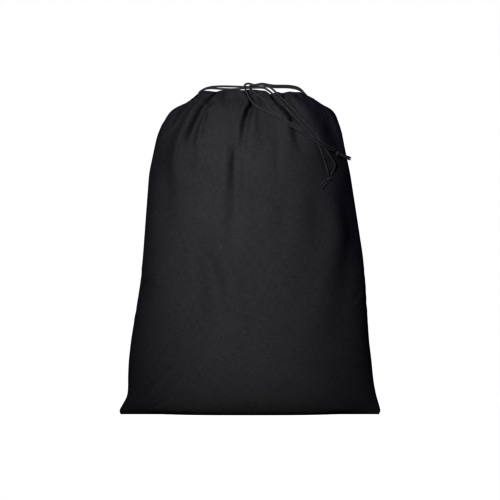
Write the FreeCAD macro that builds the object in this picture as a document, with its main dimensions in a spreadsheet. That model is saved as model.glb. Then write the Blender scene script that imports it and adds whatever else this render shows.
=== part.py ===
"""Drawstring laundry bag, 500 x 700 mm flat, standing filled-out and half cinched, in millimetres.

Frame: +Z up, the origin on the floor under the middle of the bag. The front panel faces -Y, the
bottom seam and the two side seams lie in the plane Y = 0, and X runs along the bottom seam.

Two cotton panels are sewn along both sides and the bottom. The top of each is folded into a channel.
Two cords run right round inside the channels. The left cord leaves at the left side seam, the right
one at the right side seam. Each cord's two ends are knotted together, and the two pairs are tied in
a bow over the mouth, from which their ends hang down the front.
"""

import FreeCAD, Part
import math
import os

from FreeCAD import Placement, Rotation, Vector

# One entry per level of the filled bag: name, height, half width, half depth of its oval outline.
# The floor patch is the part of the bottom that lies flat.
LEVELS = (
    ("floor_patch", 0, 150, 42),
    ("lower_curve", 20, 205, 60),
    ("ear_top", 60, 229, 72),
    ("lower_side", 140, 223, 84),
    ("waist", 230, 212, 98),
    ("middle", 320, 203, 108),
    ("belly", 410, 194, 110),
    ("upper_side", 480, 183, 107),
    ("shoulder", 525, 173, 99),
    ("shoulder_turn", 550, 163, 90),
    ("neck", 570, 147, 78),
    ("channel_foot", 593, 117, 54),
    ("hem_top", 607, 97, 36),
)

DIMENSIONS = {
    "cloth": 0.8,  # thickness of one layer of the cotton
    "channel_wall": 10,  # the whole channel, outside to inside, measured level
    "slit_half_width": 5,  # half of the unsewn gap at each side seam, where a cord comes out
    "slit_foot": 596,
    "seam_allowance": 8,  # width of the raw edges inside each seam
    "overlock_width": 1.2,
    "thread": 0.4,
    "stitch_height": 593.4,  # the line of stitches that closes the channel
    "bartack_height": 594.3,
    "bartack_half_length": 6,
    "bartack_width": 1.6,
    "ear_tip": 245.5,  # from the middle of the bag to the tip of a bottom corner
    "ear_root": 170,
    "ear_layer": 1.4,  # half of the flattened corner's thickness
    "cord": 3.5,  # diameter of the drawcord
    "left_cord_height": 603,
    "right_cord_height": 596.5,
    "exit_angle": 14,  # how far round from the side seam each cord starts its way out
    "bow_length": 27,
    "bow_depth": 7,
    "bow_height": 6.5,
    "end_knot": 5,
}
HALF_SPACE = 400  # half the side of the blocks that part the bag into front and back

doc = FreeCAD.newDocument("laundry_bag")
dims = doc.addObject("Spreadsheet::Sheet", "dims")


def fill_sheet():
    """Writes every driving dimension to a cell of its own, with its name as the alias."""
    cells = dict(DIMENSIONS)
    for name, height, half_width, half_depth in LEVELS:
        cells[name + "_height"] = height
        cells[name + "_half_width"] = half_width
        cells[name + "_half_depth"] = half_depth
    for row, (alias, value) in enumerate(cells.items(), start=1):
        dims.set(f"A{row}", alias)
        dims.set(f"B{row}", str(value))
        dims.setAlias(f"B{row}", alias)
    doc.recompute()


def add(kind, label, **expressions):
    """Adds an object, with some of its properties bound to expressions of the sheet's cells."""
    made = doc.addObject(kind, label)
    made.Label = label
    for name, expression in expressions.items():
        made.setExpression(name.replace("__", "."), expression)
    return made


# ---- the filled bag's oval form


def oval(label, level, inset, lift):
    """The bag's outline at one level, moved in by an inset and up by a lift."""
    return add(
        "Part::Ellipse",
        label,
        MajorRadius=f"dims.{level}_half_width - ({inset})",
        MinorRadius=f"dims.{level}_half_depth - ({inset})",
        Placement__Base__z=f"dims.{level}_height + {lift}",
    )


def form(label, levels, inset="0", lift="0"):
    """A solid through the outlines of some levels, inset all round, with its floor lifted."""
    lifts = [lift] + ["0"] * (len(levels) - 1)
    made = add("Part::Loft", label)
    made.Sections = [
        oval(f"{label}_{level}", level, inset, rise) for level, rise in zip(levels, lifts)
    ]
    made.Solid = True
    made.Ruled = False
    return made


def block(label, x, y, z, half_x, half_y, size_z):
    """A block centred on x and y that starts at the height z. Every size is an expression."""
    return add(
        "Part::Box",
        label,
        Length=f"2 * ({half_x})",
        Width=f"2 * ({half_y})",
        Height=size_z,
        Placement__Base__x=f"{x} - ({half_x})",
        Placement__Base__y=f"{y} - ({half_y})",
        Placement__Base__z=z,
    )


def cut(label, base, tool):
    made = add("Part::Cut", label)
    made.Base = base
    made.Tool = tool
    return made


def common(label, base, tool):
    made = add("Part::Common", label)
    made.Base = base
    made.Tool = tool
    return made


def fuse(label, *shapes):
    made = add("Part::MultiFuse", label)
    made.Shapes = list(shapes)
    return made


BODY = [level[0] for level in LEVELS[:-1]]
CHANNEL = ["channel_foot", "hem_top"]
SIDES = {"left": -1, "right": 1}
FACES = {"front": -1, "back": 1}


def half_blocks():
    """Two large blocks that meet at the plane of the seams, one for each panel."""
    return {
        face: block(f"{face}_half", "0", str(side * HALF_SPACE), "-1", HALF_SPACE, HALF_SPACE, "800")
        for face, side in FACES.items()
    }


# ---- panels, with the flattened bottom corners


def prism(label, outline, half_thickness):
    """A flat solid in the plane of the seams, from its outline of (x, z) points."""
    corners = [Vector(x, -half_thickness, z) for x, z in outline]
    made = add("Part::Feature", label)
    face = Part.Face(Part.makePolygon(corners + corners[:1]))
    made.Shape = face.extrude(Vector(0, 2 * half_thickness, 0))
    return made


def ear(side):
    """One bottom corner, which the filling doesn't reach: both layers lie flat on each other."""
    sign = SIDES[side]
    tip = dims.get("ear_tip")
    outline = [
        (dims.get("ear_root"), 24),
        (188, 6),
        (214, 2),
        (tip - 5, 0),
        (tip, 9),
        (243, 21),
        (234, 50),
        (228, 80),
        (200, 80),
    ]
    outline = [(sign * x, z) for x, z in outline]
    return prism(f"{side}_ear", outline, dims.get("ear_layer"))


def panels(halves):
    """The front and back panels, up to the stitches that close the channel."""
    outside = form("bag_outside", BODY)
    inside = form("bag_inside", BODY, "dims.cloth", "dims.cloth")
    with_ears = fuse("bag_with_ears", outside, ear("left"), ear("right"))
    shell = cut("bag_shell", with_ears, inside)
    for face in FACES:
        common(f"{face}_panel", shell, halves[face])


# ---- channels, their stitches and the bar tacks at the slits


def ring(label, outset, inset):
    """A band round the mouth, from outset beyond its outline to inset within it."""
    outer = form(f"{label}_outer", CHANNEL, f"-({outset})")
    return cut(label, outer, form(f"{label}_inner", CHANNEL, inset))


def level_band(label, foot, height):
    """A wide flat block between two heights."""
    return block(label, "0", "0", foot, str(HALF_SPACE), str(HALF_SPACE), height)


def channels(halves):
    """Each panel's folded top: a tunnel that is open at the side seams, where the cords come out."""
    whole = ring("channel_ring", "0", "dims.channel_wall")
    wall = "1.5 * dims.cloth"
    core = ring("channel_core", f"-{wall}", f"dims.channel_wall - {wall}")
    span = "dims.hem_top_height - dims.channel_foot_height"
    reach = level_band("tunnel_reach", f"dims.channel_foot_height + {wall}", f"{span} - 2 * {wall}")
    hollow = cut("channel_hollow", whole, common("channel_tunnel", core, reach))
    slits = block("slits", "0", "0", "dims.slit_foot", str(HALF_SPACE), "dims.slit_half_width", "60")
    open_ring = cut("channel_with_slits", hollow, slits)
    for face in FACES:
        common(f"{face}_channel", open_ring, halves[face])


def trim(halves):
    """Channel stitches all round, and one bar tack across the foot of each slit."""
    skin = ring("thread_skin", "dims.thread", "0")
    stitches = common("stitches", skin, level_band("stitch_band", "dims.stitch_height", "0.8"))
    for face in FACES:
        common(f"{face}_channel_stitches", stitches, halves[face])
    tack_skin = ring("tack_skin", "2 * dims.thread", "0")
    for side, sign in SIDES.items():
        patch = block(
            f"{side}_tack_block",
            f"{sign} * 120",
            "0",
            "dims.bartack_height",
            "30",
            "dims.bartack_half_length",
            "dims.bartack_width",
        )
        common(f"{side}_slit_bartack", tack_skin, patch)


# ---- seam allowances inside the bag


def seam_outline(inset):
    """The outline of the bag in the plane of its seams, moved in by an inset."""
    right = [
        (dims.get(f"{level}_half_width") - inset, dims.get(f"{level}_height")) for level in BODY
    ]
    right[0] = (right[0][0], inset)
    return right + [(-x, z) for x, z in reversed(right)]


def part_strip(name, strip):
    """Parts a strip that runs along all three seams into the bottom, left and right ones."""
    corner = "dims.floor_patch_half_width"
    common(f"bottom_{name}", strip, block(f"bottom_{name}_part", "0", "0", "0", corner, "20", "60"))
    sides = cut(f"{name}_sides", strip, block(f"{name}_floor", "0", "0", "-1", corner, "20", "61"))
    for side, sign in SIDES.items():
        part = block(f"{side}_{name}_part", f"{sign} * 200", "0", "0", "200", "20", "600")
        common(f"{side}_{name}", sides, part)


def seams():
    """Raw edges of both panels, turned inwards, with the overlock stitches along their rims."""
    inside = form("allowance_form", BODY, "dims.cloth + 0.05", "dims.cloth + 0.05")
    doc.recompute()
    rim = Part.Face(inside.Shape.slice(Vector(0, 1, 0), 0.1))
    rim.translate(Vector(0, -0.1 - dims.get("cloth"), 0))
    slab = add("Part::Feature", "allowance_slab")
    slab.Shape = rim.extrude(Vector(0, 2 * dims.get("cloth"), 0))
    layers = 2 * dims.get("cloth")
    width = dims.get("seam_allowance")
    inner = prism("allowance_inner", seam_outline(width), layers)
    part_strip("seam_allowance", cut("allowance_strip", slab, inner))
    rim = dims.get("overlock_width")
    outer = prism("overlock_outer", seam_outline(width + 0.05), dims.get("cloth") + dims.get("thread"))
    inner = prism("overlock_inner", seam_outline(width + rim), layers)
    part_strip("seam_overlock", cut("overlock_strip", outer, inner))


# ---- cords


def rounded_path(label, points):
    """A wire of straight runs joined by tangent arcs, and the smallest radius among the arcs."""
    spots = [Vector(*point) for point in points]
    edges = []
    radii = []
    here = spots[0]
    for before, corner, after in zip(spots, spots[1:], spots[2:]):
        arriving = corner - before
        leaving = after - corner
        turn = arriving.getAngle(leaving)
        reach = 0.45 * min(arriving.Length, leaving.Length)
        radius = reach / math.tan(turn / 2)
        arriving.normalize()
        leaving.normalize()
        start = corner - arriving * reach
        end = corner + leaving * reach
        inward = (leaving - arriving).normalize()
        middle = corner + inward * (radius / math.cos(turn / 2) - radius)
        edges.append(Part.LineSegment(here, start).toShape())
        edges.append(Part.Arc(start, middle, end).toShape())
        radii.append(radius)
        here = end
    edges.append(Part.LineSegment(here, spots[-1]).toShape())
    made = add("Part::Feature", f"{label}_path")
    made.Shape = Part.Wire(edges)
    return made, min(radii)


def cord(label, points):
    """A length of drawcord along its route."""
    path, tightest = rounded_path(label, points)
    start = Vector(*points[0])
    ahead = Vector(*points[1]) - start
    section = add("Part::Circle", f"{label}_section", Radius="dims.cord / 2")
    section.Placement = Placement(start, Rotation(Vector(0, 0, 1), ahead))
    made = add("Part::Sweep", label)
    made.Sections = [section]
    made.Spine = (path, [f"Edge{n + 1}" for n in range(len(path.Shape.Edges))])
    made.Solid = True
    made.Frenet = False
    print(f"{label}: {path.Shape.Length:.1f} mm long, tightest radius {tightest:.1f} mm")
    return path.Shape.Length


def ring_route(height, start_angle, count=22):
    """Points of a cord that lies in the middle of the channel, all the way round but for its exit."""
    foot = dims.get("channel_foot_height")
    share = (height - foot) / (dims.get("hem_top_height") - foot)
    half_width, half_depth = (
        dims.get(f"channel_foot_{size}") * (1 - share)
        + dims.get(f"hem_top_{size}") * share
        - dims.get("channel_wall") / 2
        for size in ("half_width", "half_depth")
    )
    gap = dims.get("exit_angle")
    route = []
    for step in range(count + 1):
        angle = math.radians(start_angle + gap + (360 - 2 * gap) * step / count)
        route.append((half_width * math.cos(angle), half_depth * math.sin(angle), height))
    return route


# The stretches from each exit slit to the bow. Each pair is one cord's two halves: the back one
# comes out of the back channel and lies above the front one.
STRETCHES = {
    "left_cord_back_stretch": [
        (-94.8, 8.7, 603.0),
        (-97.6, 3.9, 603.8),
        (-95.2, 2.8, 608.4),
        (-89.3, 1.6, 613.0),
        (-77.5, -3.0, 617.4),
        (-60, -9.5, 618.4),
        (-38, -17.5, 617.4),
        (-14, -26, 616.2),
    ],
    "left_cord_front_stretch": [
        (-94.8, -8.7, 603.0),
        (-97.6, -3.9, 603.8),
        (-95.2, -3.0, 608.2),
        (-89.3, -4.0, 612.4),
        (-79, -8.5, 615.6),
        (-65, -14.5, 615.4),
        (-49, -21.5, 612.0),
        (-31, -28.0, 610.8),
        (-14, -31.5, 611.4),
    ],
    "right_cord_back_stretch": [
        (103.8, 10.8, 596.5),
        (107.5, 4.4, 597.6),
        (105.8, 2.8, 602.4),
        (101.4, 2.4, 607.4),
        (97.2, 1.8, 612.4),
        (90.0, 0.0, 617.6),
        (77, -5.0, 620.0),
        (61, -12, 619.6),
        (44.5, -20, 618.4),
    ],
    "right_cord_front_stretch": [
        (103.8, -10.8, 596.5),
        (107.5, -4.4, 597.6),
        (105.6, -2.9, 602.2),
        (100.8, -3.0, 606.6),
        (95.6, -3.8, 610.8),
        (88, -6.4, 614.6),
        (76, -11.0, 616.0),
        (61, -17.5, 615.6),
        (44.5, -25, 614.8),
    ],
}

# The ends that hang from the bow: over the hem, down the shoulder of the front panel to a knot.
HANGING_ENDS = {
    "right_cord_lower_end": [
        (-7, -35.5, 614.5),
        (-8, -44, 608.6),
        (-2, -54.5, 598),
        (12, -69, 585),
        (36, -79.5, 572),
        (65, -85, 555.5),
        (96, -86, 535),
        (126, -81, 514),
        (146, -67.5, 502),
        (160.5, -51.8, 493),
    ],
    "right_cord_upper_end": [
        (2, -35.5, 614),
        (3.5, -43.5, 608.6),
        (13.5, -53, 599),
        (30, -67, 587),
        (46, -79, 574.5),
        (71, -84.5, 559.5),
        (102, -84.5, 539),
        (131, -79, 519),
        (151, -65, 506),
        (163, -52.2, 496),
    ],
    "left_cord_lower_end": [
        (29, -35.5, 613.6),
        (36.5, -43, 606.5),
        (50, -53, 595),
        (64, -64.5, 581.5),
        (81, -73.5, 564.5),
        (100, -77.2, 545),
        (116, -75.6, 526.5),
        (129.5, -73.6, 508),
        (136, -72.8, 491),
        (141.5, -71.8, 473.5),
        (146, -70.8, 457),
        (148.2, -70.8, 449.2),
    ],
    "left_cord_upper_end": [
        (38, -34, 614.8),
        (45.5, -40, 608.5),
        (58, -48.5, 598.5),
        (72.5, -60, 584),
        (90, -69, 566.5),
        (108, -73, 546),
        (123, -72, 525),
        (137, -69.3, 505.5),
        (149, -65, 487.5),
        (158.5, -59.6, 471),
        (157, -62, 459.5),
        (151.8, -67.2, 450.3),
    ],
}

# The cut ends beyond each knot.
TAILS = {
    "right_cord_lower_tail": [(169.6, -43.8, 487.2), (179, -38.8, 483.0), (189, -34.5, 479.6)],
    "right_cord_upper_tail": [(170.0, -40.0, 489.4), (179, -35.0, 485.6), (187, -31.0, 483.4)],
    "left_cord_upper_tail": [(143.6, -75.6, 441.6), (138, -79.4, 438.0), (132, -82.6, 433.0)],
    "left_cord_lower_tail": [(146.0, -75.4, 438.0), (140, -79.0, 432.4), (133, -82.4, 426.4)],
}

BOW_CENTRE = Vector(16, -27.5, 616.5)
END_KNOTS = {"right_cord_end_knot": (165.6, -46.6, 489.6), "left_cord_end_knot": (148, -71.6, 443.4)}


def cords():
    """Both drawcords, in stretches, and the knots that join them."""
    lengths = {}
    for side, angle in (("left", 180), ("right", 0)):
        label = f"{side}_cord_in_channel"
        lengths[label] = cord(label, ring_route(dims.get(f"{side}_cord_height"), angle))
    for group in (STRETCHES, HANGING_ENDS, TAILS):
        for label, points in group.items():
            lengths[label] = cord(label, points)
    bow = add(
        "Part::Ellipsoid",
        "bow_knot",
        Radius1="dims.bow_height",
        Radius2="dims.bow_length",
        Radius3="dims.bow_depth",
    )
    bow.Placement.Base = BOW_CENTRE
    for label, centre in END_KNOTS.items():
        knot = add("Part::Sphere", label, Radius="dims.end_knot")
        knot.Placement.Base = Vector(*centre)
    return lengths


def node_labels():
    """The sub-parts that are written out, each a piece of the bag."""
    labels = [f"{face}_{piece}" for face in FACES for piece in ("panel", "channel", "channel_stitches")]
    for side in SIDES:
        pieces = ("seam_allowance", "seam_overlock", "slit_bartack", "cord_in_channel", "cord_end_knot")
        labels += [f"{side}_{piece}" for piece in pieces]
    labels += ["bottom_seam_allowance", "bottom_seam_overlock", "bow_knot"]
    return labels + list(STRETCHES) + list(HANGING_ENDS) + list(TAILS)


def write_parts(lengths):
    """Checks every object, compares each cord with its section times its length, and writes the pieces."""
    os.makedirs("parts", exist_ok=True)
    failed = [o.Label for o in doc.Objects if {"Invalid", "Error"} & set(o.State)]
    if failed:
        raise RuntimeError(f"these objects failed: {failed}")
    section = math.pi * (dims.get("cord") / 2) ** 2
    for label in node_labels():
        shape = doc.getObjectsByLabel(label)[0].Shape
        if shape.isNull() or not shape.isValid() or not shape.Solids:
            raise RuntimeError(f"{label} has no valid solid")
        if label in lengths and abs(shape.Volume / (section * lengths[label]) - 1) > 0.01:
            raise RuntimeError(f"{label} has the wrong volume")
        shape.exportStep(f"parts/{label}.step")
        print(f"{label}: {len(shape.Solids)} solid, {shape.Volume / 1000:.2f} cm3")


fill_sheet()
halves = half_blocks()
panels(halves)
channels(halves)
trim(halves)
seams()
cord_lengths = cords()
doc.recompute()
write_parts(cord_lengths)
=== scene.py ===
"""Looks of the drawstring laundry bag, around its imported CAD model.

Sizes are in metres, and lists of places are written in millimetres.

The two panels are one closed grid while the cloth is simulated, and are parted at the seams after it.
A grid place is (row, column): rows run up from the bottom seam to the stitches of the channel, and
columns from the left seam (-1) to the right seam (+1).
"""

import math

import bpy
import numpy as np
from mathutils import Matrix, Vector
from mathutils.kdtree import KDTree


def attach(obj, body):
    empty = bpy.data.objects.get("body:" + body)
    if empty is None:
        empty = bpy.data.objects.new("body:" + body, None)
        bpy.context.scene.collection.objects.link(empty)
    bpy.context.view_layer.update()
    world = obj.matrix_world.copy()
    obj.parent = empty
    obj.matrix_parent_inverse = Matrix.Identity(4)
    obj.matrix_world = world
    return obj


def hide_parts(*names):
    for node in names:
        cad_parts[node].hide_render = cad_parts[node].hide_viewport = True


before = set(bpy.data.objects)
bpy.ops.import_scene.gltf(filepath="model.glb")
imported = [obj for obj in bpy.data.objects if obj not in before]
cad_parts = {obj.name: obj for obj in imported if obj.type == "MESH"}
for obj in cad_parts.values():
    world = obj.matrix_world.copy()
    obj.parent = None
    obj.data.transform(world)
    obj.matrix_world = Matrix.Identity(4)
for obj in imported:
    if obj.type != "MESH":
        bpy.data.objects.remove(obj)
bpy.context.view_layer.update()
scene = bpy.context.scene
MM = 0.001

FRONT, BACK = -1, 1


def set_inputs(node, values):
    for name, value in values.items():
        node.inputs[name].default_value = value


def new_material(name):
    material = bpy.data.materials.new(name)
    material.use_nodes = True
    return material, material.node_tree.nodes, material.node_tree.links


# ---- camera, light and floor

VIEW_WIDTH = 0.94  # what the picture spans at the bag, left to right
VIEW_HEIGHT = 0.31  # the level camera's height
LENS = 260
SENSOR = 36
SPOT_CONE = math.radians(40)
SPOT_NARROWING = 0.36  # how wide a spot's pool of light is, against its height
SPOT_RADIUS = 0.12
SPOT_POWER = 800
SPOT_COLOUR = (1, 0.985, 0.90)
GAMMA = 0.6
SKY_COLOUR = (0.10, 0.09, 1, 1)  # of the weak light all round
SKY_STRENGTH = 0.33
FLOOR_REACH = 2.5


def make_camera():
    data = bpy.data.cameras.new("camera")
    data.lens = LENS
    data.sensor_width = SENSOR
    camera = bpy.data.objects.new("camera", data)
    scene.collection.objects.link(camera)
    camera.location = (0, -VIEW_WIDTH * LENS / SENSOR, VIEW_HEIGHT)
    camera.rotation_euler = (math.radians(90), 0, 0)
    data.clip_end = 100
    scene.camera = camera


def spotlight(name, place, aim):
    """A soft-edged spot, whose pool of light is narrower than it is high."""
    data = bpy.data.lights.new(name, "SPOT")
    data.spot_size = SPOT_CONE
    data.spot_blend = 1
    data.shadow_soft_size = SPOT_RADIUS
    data.energy = SPOT_POWER
    data.color = SPOT_COLOUR
    light = bpy.data.objects.new(name, data)
    scene.collection.objects.link(light)
    light.location = place
    light.rotation_euler = (Vector(aim) - Vector(place)).to_track_quat("-Z", "Y").to_euler()
    light.scale = (SPOT_NARROWING, 1, 1)


def make_light():
    """A white studio: a key light from the front left, its like behind the bag, and weak light all round."""
    scene.view_settings.view_transform = "Standard"
    scene.view_settings.gamma = GAMMA
    spotlight("key", (-0.56, -2.25, 1.0), (0.008, 0, 0.29))
    spotlight("rear_key", (0.56, 2.25, 1.0), (0.01, 0, 0.29))
    world = bpy.data.worlds.new("studio")
    scene.world = world
    world.use_nodes = True
    nodes, links = world.node_tree.nodes, world.node_tree.links
    seen = nodes["Background"]
    lighting = nodes.new("ShaderNodeBackground")
    mix = nodes.new("ShaderNodeMixShader")
    path = nodes.new("ShaderNodeLightPath")
    set_inputs(seen, {"Color": (1, 1, 1, 1)})
    set_inputs(lighting, {"Color": SKY_COLOUR, "Strength": SKY_STRENGTH})
    links.new(path.outputs["Is Camera Ray"], mix.inputs[0])
    links.new(lighting.outputs[0], mix.inputs[1])
    links.new(seen.outputs[0], mix.inputs[2])
    links.new(mix.outputs[0], nodes["World Output"].inputs[0])


def make_floor():
    """A floor that looks white and throws little light up."""
    material, nodes, links = new_material("pale_floor")
    shader = nodes["Principled BSDF"]
    set_inputs(shader, {"Base Color": (0.1, 0.1, 0.1, 1), "Roughness": 0.9})
    set_inputs(shader, {"Specular IOR Level": 0, "Emission Color": (1, 1, 1, 1)})
    links.new(nodes.new("ShaderNodeLightPath").outputs["Is Camera Ray"], shader.inputs["Emission Strength"])
    corners = [(FLOOR_REACH * x, FLOOR_REACH * y, 0) for x, y in ((-1, -1), (1, -1), (1, 1), (-1, 1))]
    make_piece("floor", corners, [(0, 1, 2, 3)], material, smooth=False)


# ---- cord routes, the same points as the CAD model's, in millimetres

CORD = 3.5 * MM


def distances_along(line):
    """How far along a line each of its points lies."""
    return np.concatenate([[0], np.cumsum(np.linalg.norm(np.diff(line, axis=0), axis=1))])


def resample(line, spacing):
    """The same line with its points evenly spaced."""
    along = distances_along(line)
    wanted = np.linspace(0, along[-1], max(2, round(along[-1] / spacing)) + 1)
    return np.column_stack([np.interp(wanted, along, line[:, axis]) for axis in range(3)])


def in_metres(routes):
    return {name: [tuple(size * MM for size in place) for place in route] for name, route in routes.items()}


STRETCHES = in_metres({
    "left_cord_back": [
        (-94.8, 8.7, 603), (-96.6, 3.9, 603.8), (-93.4, 2.8, 608), (-87, 1.6, 612.4), (-76, -3, 616.2),
        (-60, -9.5, 617.3), (-38, -17.5, 616.8), (-14, -26, 615.5),
    ],
    "left_cord_front": [
        (-94.8, -8.7, 603), (-96.6, -3.9, 603.8), (-93.4, -3, 607.9), (-87.5, -4, 611.6),
        (-78, -7.5, 614), (-65, -12, 613.3), (-49, -16.5, 611.8), (-31, -21.5, 611.1),
        (-14, -28.5, 612.6),
    ],
    "right_cord_back": [
        (103.8, 10.8, 596.5), (107.5, 4.4, 597.6), (104.6, 2.8, 602.2), (100.2, 2.4, 606.8),
        (96.4, 1.8, 611.2), (89.5, 0, 615.8), (77, -5, 618.3), (61, -12, 618.6), (44.5, -20, 617.9),
    ],
    "right_cord_front": [
        (103.8, -10.8, 596.5), (107.5, -4.4, 597.6), (104.2, -2.9, 601.8), (99.6, -3, 606),
        (95, -3.8, 609.6), (88, -6.4, 612.8), (76, -11, 615), (61, -17.5, 615.2), (44.5, -25, 614.6),
    ],
})

# How each strand runs within the bow: the right pair loops over the left one at its left end.
BOW = in_metres({
    "left_cord_back": [
        (-3, -27.7, 615.3), (7.5, -29, 615), (22, -31.3, 614.9), (31, -33, 616.2), (37, -34.8, 614.8),
    ],
    "left_cord_front": [
        (-3, -31.2, 613.2), (7.5, -32.8, 613.6), (19, -34.6, 613.8), (28, -36.2, 612.9),
    ],
    "right_cord_back": [
        (33, -22.5, 620), (22.6, -25, 622), (12, -27, 619.6), (7.5, -27.5, 618.7), (1.5, -28.8, 620.6),
        (-3.5, -29.8, 622), (-8.8, -31, 620.2), (-10.4, -33.2, 616.5), (-9.4, -37.4, 612.8),
    ],
    "right_cord_front": [
        (34, -27.3, 617.6), (24, -29.6, 620), (12, -31.8, 617.9), (6, -33.2, 617.4), (-0.6, -34.8, 617),
        (-1, -37.9, 613.4),
    ],
})

HANGING_ENDS = in_metres({
    "right_cord_back": [
        (-8, -44, 608.6), (-3, -56.2, 596.6), (3.5, -68.5, 585.7), (12.9, -77.5, 576.4),
        (37.5, -84.8, 564.1), (65.1, -89, 547.3), (94.8, -88.1, 529.6), (124.5, -82.5, 509.5),
        (143.5, -71.8, 499), (158.3, -53.5, 493.6),
    ],
    "right_cord_front": [
        (3.5, -43.5, 608.6), (13.9, -52.7, 599.2), (26.7, -65.8, 588.3), (35.6, -78.1, 575.9),
        (44.4, -85.6, 564.7), (69.1, -89.5, 549.6), (98.7, -88.3, 531.3), (128.4, -82.1, 512.5),
        (147.5, -68.8, 502.8), (160.8, -53.9, 496.6),
    ],
    "left_cord_front": [
        (36.5, -43, 606.5), (49.6, -52.6, 595.3), (60.4, -62.3, 584.1), (78.6, -75.3, 563),
        (96.9, -78.7, 543.3), (112.9, -76.8, 526.6), (124.4, -74.6, 512.4), (133, -74, 493),
        (138.5, -73.3, 476.7), (143.5, -72.2, 460.9), (146.3, -71.8, 447.7),
    ],
    "left_cord_back": [
        (44.8, -40, 608.5), (56.6, -52.6, 595.3), (69.4, -61.5, 583.5), (89.1, -71.3, 563.8),
        (104.8, -74.8, 545.4), (119.6, -73.9, 529), (132.2, -71.4, 511.4), (145.1, -66.2, 491.3),
        (159.1, -58.7, 471.1), (157.1, -62, 460.1), (150.6, -67.8, 448.6),
    ],
})

TAILS = in_metres({
    "right_cord_lower_tail": [
        (167.4, -45.5, 487.8), (177.5, -40.4, 483.4), (186.8, -36, 479.2),
    ],
    "right_cord_upper_tail": [
        (167.8, -41.7, 490), (178, -36.6, 486), (187.5, -32.4, 482.8),
    ],
    "left_cord_upper_tail": [
        (142.1, -76, 440), (136, -79.8, 435), (129.8, -82.9, 430.2),
    ],
    "left_cord_lower_tail": [
        (144.5, -75.8, 436.4), (139, -79.4, 430.8), (134, -82.8, 425),
    ],
})

END_KNOTS = {"right": (0.1634, -0.0483, 0.4902), "left": (0.1465, -0.0720, 0.4418)}


def spline_points(route, spacing):
    """Points at an even spacing along the NURBS spline of a route."""
    curve = bpy.data.curves.new("route", "CURVE")
    curve.dimensions = "3D"
    curve.resolution_u = 24
    spline = curve.splines.new("NURBS")
    spline.points.add(len(route) - 1)
    for point, place in zip(spline.points, route):
        point.co = (*place, 1)
    spline.order_u = 3
    spline.use_endpoint_u = True
    holder = bpy.data.objects.new("route", curve)
    mesh = bpy.data.meshes.new_from_object(holder)
    line = np.array([vertex.co for vertex in mesh.vertices])
    bpy.data.objects.remove(holder)
    bpy.data.curves.remove(curve)
    bpy.data.meshes.remove(mesh)
    return resample(line, spacing)


# ---- mesh helpers


def grid_faces(index, flip=False):
    """Squares between the neighbours in an array of vertex numbers."""
    squares = np.stack([index[:-1, :-1], index[:-1, 1:], index[1:, 1:], index[1:, :-1]], axis=2)
    return squares.reshape(-1, 4)[:, :: -1 if flip else 1].tolist()


def make_piece(name, points, faces, material, smooth=True):
    mesh = bpy.data.meshes.new(name)
    mesh.from_pydata([tuple(point) for point in points], [], faces)
    mesh.update()
    mesh.materials.append(material)
    if smooth:
        mesh.polygons.foreach_set("use_smooth", [True] * len(mesh.polygons))
    piece = bpy.data.objects.new(name, mesh)
    scene.collection.objects.link(piece)
    return piece


def apply_modifiers(piece):
    """Replaces the piece's mesh with its evaluated one."""
    evaluated = piece.evaluated_get(bpy.context.evaluated_depsgraph_get())
    mesh = bpy.data.meshes.new_from_object(evaluated)
    old = piece.data
    piece.modifiers.clear()
    piece.data = mesh
    mesh.name = piece.name
    bpy.data.meshes.remove(old)


ANY_DIRECTION = (0.3, 0.2, 0.93)  # only not along a cord


def frames_along(line):
    """Two unit vectors across a line at each of its points, without twist."""
    ahead = np.gradient(line, axis=0)
    ahead /= np.linalg.norm(ahead, axis=1)[:, None]
    side = np.cross(ahead[0], ANY_DIRECTION)
    sides = []
    for direction in ahead:
        side = side - direction * side.dot(direction)
        side = side / np.linalg.norm(side)
        sides.append(side)
    sides = np.array(sides)
    return sides, np.cross(ahead, sides)


BRAID_STRANDS = 6
BRAID_PITCH = 9 * MM  # along the cord, one turn of a braid strand
BRAID_RELIEF = 0.045  # of the radius


def braided_tube(line, radius, around=18, relief=BRAID_RELIEF, end_round=0.6):
    """Points and faces of a braided cord along a line, with slightly rounded ends."""
    across, up = frames_along(line)
    along = distances_along(line)
    turn = np.linspace(0, 2 * math.pi, around, endpoint=False)
    ring, length = np.meshgrid(turn, along)
    travel = 2 * math.pi * length / BRAID_PITCH
    half = BRAID_STRANDS / 2
    weave = np.sin(half * (ring + travel)) * np.sin(half * (ring - travel))
    radii = radius * (1 - relief + relief * 2 * np.abs(weave) ** 0.6)
    from_end = np.minimum(along, along[-1] - along)
    taper = np.sqrt(np.clip(from_end / (radius * end_round), 0.12, 1))
    radii *= taper[:, None]
    points = (
        line[:, None, :]
        + across[:, None, :] * (radii * np.cos(ring))[:, :, None]
        + up[:, None, :] * (radii * np.sin(ring))[:, :, None]
    ).reshape(-1, 3)
    index = np.arange(len(points)).reshape(-1, around)
    faces = grid_faces(np.column_stack([index, index[:, 0]]))
    return points, faces + [index[0, ::-1].tolist(), index[-1].tolist()]


def plain_tube(line, radius, around=6, end_round=0.6):
    return braided_tube(line, radius, around, 0, end_round)


def join_parts(name, parts, material):
    """One piece from several pairs of points and faces."""
    faces = []
    start = 0
    for more_points, more_faces in parts:
        faces += [[start + index for index in face] for face in more_faces]
        start += len(more_points)
    return make_piece(name, np.concatenate([points for points, _ in parts]), faces, material)


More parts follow.
